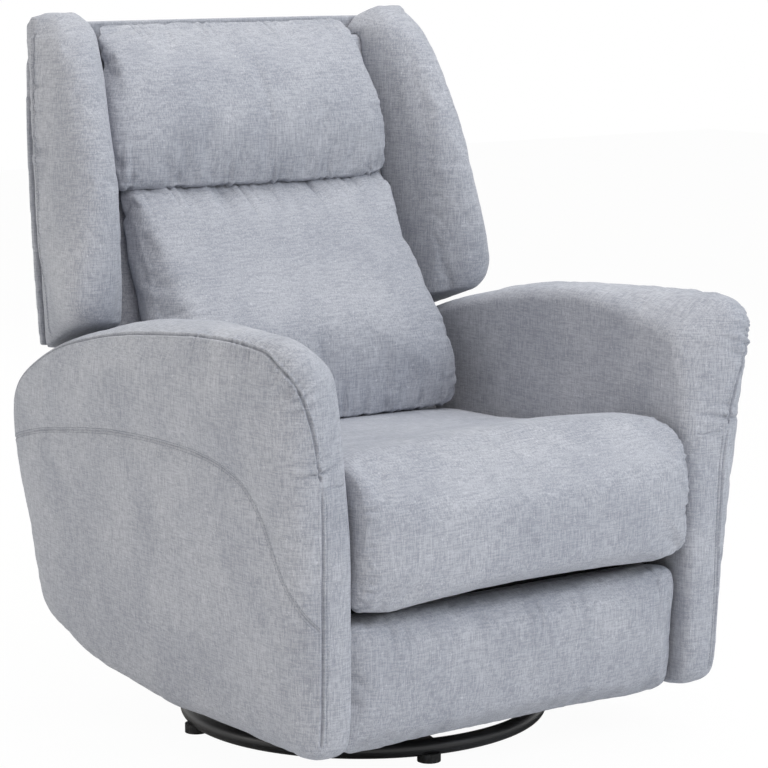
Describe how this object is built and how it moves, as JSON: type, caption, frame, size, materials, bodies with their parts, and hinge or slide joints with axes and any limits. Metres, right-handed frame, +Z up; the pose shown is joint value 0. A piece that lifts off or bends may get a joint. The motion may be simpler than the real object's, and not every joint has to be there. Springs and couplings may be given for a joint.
{
  "type": "swivel glider recliner",
  "caption": "Upholstered wing-back recliner on a swivel ring base, with glider links, reclining back and fold-out footrest.",
  "frame": {"origin": "on the floor under the middle of the chair's width and depth, footrest folded and back upright", "axes": "+Z up, -Y the way the sitter faces, +X the sitter's left"},
  "size_m": [0.8158, 0.7985, 1.034],
  "materials": {
    "fabric": "soft woven chenille with a fine heathered weave",
    "plywood": "bare sanded plywood",
    "foam": "bare upholstery foam",
    "webbing": "woven elastic webbing",
    "link_steel": "satin grey powder coat",
    "black_steel": "satin black powder coat",
    "zinc": "bright zinc plate",
    "spring_wire": "oiled spring wire",
    "glide_nylon": "matte black nylon"
  },
  "bodies": {
    "base": {"base_ring": "black_steel", "base_cross_arms": "black_steel", "base_hub": "black_steel", "floor_glides": "glide_nylon", "lower_bearing_plate": "zinc", "bearing_balls": "zinc", "swivel_bolt": "zinc", "swivel_nut": "zinc"},
    "turntable": {"upper_bearing_plate": "zinc", "glider_side_tubes": "black_steel", "glider_cross_tubes": "black_steel", "glider_posts": "link_steel", "glider_pins": "zinc"},
    "front_glide": {"front_glide_links": "link_steel"},
    "rear_glide": {"rear_glide_links": "link_steel"},
    "chair_frame": {"carriage_rails": "link_steel", "carriage_pins": "zinc", "carriage_cross_tubes": "black_steel", "mechanism_plate_left": "link_steel", "mechanism_plate_right": "link_steel", "swing_pins": "zinc", "arm_panel_left": "plywood", "arm_panel_right": "plywood", "arm_left": "fabric", "arm_right": "fabric", "rear_skirt": "fabric"},
    "front_swing": {"front_swing_links": "link_steel"},
    "rear_swing": {"rear_swing_links": "link_steel"},
    "seat": {"seat_plate_left": "link_steel", "seat_plate_right": "link_steel", "seat_hangers": "link_steel", "seat_pins": "zinc", "seat_side_rails": "plywood", "seat_cross_rails": "plywood", "seat_springs": "spring_wire", "seat_cushion": "fabric"},
    "footrest_drive": {"footrest_drive_links": "link_steel", "footrest_drive_pins": "zinc"},
    "footrest_control": {"footrest_control_links": "link_steel"},
    "footrest_riser": {"footrest_riser_links": "link_steel", "footrest_riser_pins": "zinc"},
    "footrest_guide": {"footrest_guide_links": "link_steel"},
    "footrest": {"footrest_brackets": "link_steel", "footrest_bracket_pins": "zinc", "footrest_board": "plywood", "footrest_pad": "fabric"},
    "backrest": {"back_brackets": "link_steel", "back_side_panels": "plywood", "back_rails": "plywood", "back_webbing": "webbing", "back_core": "foam", "outside_back": "fabric", "lumbar_cushion": "fabric", "head_cushion": "fabric", "wing_left": "fabric", "wing_right": "fabric"}
  },
  "joints": [
    {"name": "swivel", "type": "hinge", "parent": "base", "child": "turntable", "pos_m": [0, 0.012, 0.0455], "axis": [0, 0, 1], "continuous": true},
    {"name": "glide", "type": "hinge", "parent": "turntable", "child": "front_glide", "pos_m": [0, -0.093, 0.222], "axis": [-1, 0, 0], "range_deg": [-15, 15]},
    {"name": "glide_carry", "type": "hinge", "parent": "front_glide", "child": "chair_frame", "pos_m": [0, -0.093, 0.092], "axis": [-1, 0, 0], "range_deg": [-15, 15]},
    {"name": "glide_rear", "type": "hinge", "parent": "turntable", "child": "rear_glide", "pos_m": [0, 0.117, 0.222], "axis": [-1, 0, 0], "range_deg": [-15, 15]},
    {"name": "seat_swing", "type": "hinge", "parent": "chair_frame", "child": "front_swing", "pos_m": [0, -0.19, 0.292], "axis": [-1, 0, 0], "range_deg": [0, 37.6]},
    {"name": "seat_carry", "type": "hinge", "parent": "front_swing", "child": "seat", "pos_m": [0, -0.17998, 0.2207], "axis": [-1, 0, 0], "range_deg": [-37.6, 0]},
    {"name": "seat_swing_rear", "type": "hinge", "parent": "chair_frame", "child": "rear_swing", "pos_m": [0, 0.14, 0.292], "axis": [-1, 0, 0], "range_deg": [0, 37.6]},
    {"name": "recline", "type": "hinge", "parent": "seat", "child": "backrest", "pos_m": [0, 0.24, 0.33], "axis": [-1, 0, 0], "range_deg": [0, 35]},
    {"name": "footrest", "type": "hinge", "parent": "seat", "child": "footrest_drive", "pos_m": [0, -0.258, 0.24], "axis": [-1, 0, 0], "range_deg": [0, 90]},
    {"name": "footrest_riser", "type": "hinge", "parent": "footrest_drive", "child": "footrest_riser", "pos_m": [0, -0.20722, 0.10418], "axis": [-1, 0, 0], "range_deg": [-90, 0]},
    {"name": "footrest_board", "type": "hinge", "parent": "footrest_riser", "child": "footrest", "pos_m": [0, -0.27999, 0.25338], "axis": [-1, 0, 0], "range_deg": [0, 90]},
    {"name": "footrest_control", "type": "hinge", "parent": "seat", "child": "footrest_control", "pos_m": [0, -0.2924, 0.26409], "axis": [-1, 0, 0], "range_deg": [0, 90]},
    {"name": "footrest_guide", "type": "hinge", "parent": "footrest_drive", "child": "footrest_guide", "pos_m": [0, -0.20722, 0.06668], "axis": [-1, 0, 0], "range_deg": [-90, 0]}
  ],
  "couplings": [
    {"joint": "glide_carry", "follows": "glide", "ratio": -1},
    {"joint": "glide_rear", "follows": "glide", "ratio": 1},
    {"joint": "seat_swing", "follows": "recline", "ratio": 1.0714},
    {"joint": "seat_carry", "follows": "recline", "ratio": -1.0714},
    {"joint": "seat_swing_rear", "follows": "recline", "ratio": 1.0714},
    {"joint": "footrest_riser", "follows": "footrest", "ratio": -1},
    {"joint": "footrest_board", "follows": "footrest", "ratio": 1},
    {"joint": "footrest_control", "follows": "footrest", "ratio": 1},
    {"joint": "footrest_guide", "follows": "footrest", "ratio": -1}
  ]
}
